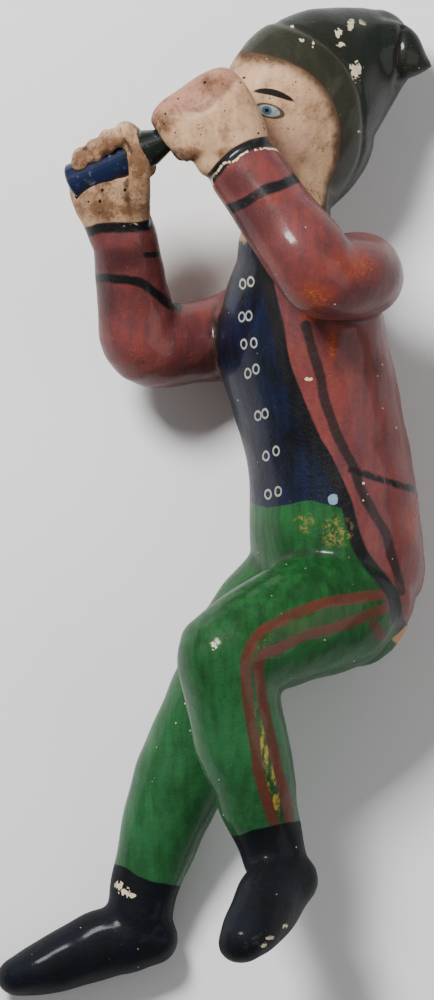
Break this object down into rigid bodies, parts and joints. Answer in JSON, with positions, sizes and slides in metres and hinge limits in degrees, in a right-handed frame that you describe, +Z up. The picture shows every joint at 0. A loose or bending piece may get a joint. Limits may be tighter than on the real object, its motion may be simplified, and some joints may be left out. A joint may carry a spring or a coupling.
{
  "type": "carved wooden acrobat figure",
  "caption": "Carved and painted wooden acrobat with a long cap and striped trousers, knees bent, both fists round a short tapered bar before the face.",
  "frame": {"origin": "on the floor, under the middle of the lying figure's outline", "axes": "+Y along the body from the boots to the cap, +X across it towards its back, +Z up from the floor that it lies on"},
  "size_m": [0.217, 0.4925, 0.1564],
  "materials": {
    "painted_figure_wood": "old oil paint under a worn, semi-gloss varnish",
    "painted_bar_wood": "dark blue paint, semi-gloss"
  },
  "bodies": {
    "root": {"carved_figure": "painted_figure_wood", "grip_bar": "painted_bar_wood"}
  },
  "joints": []
}
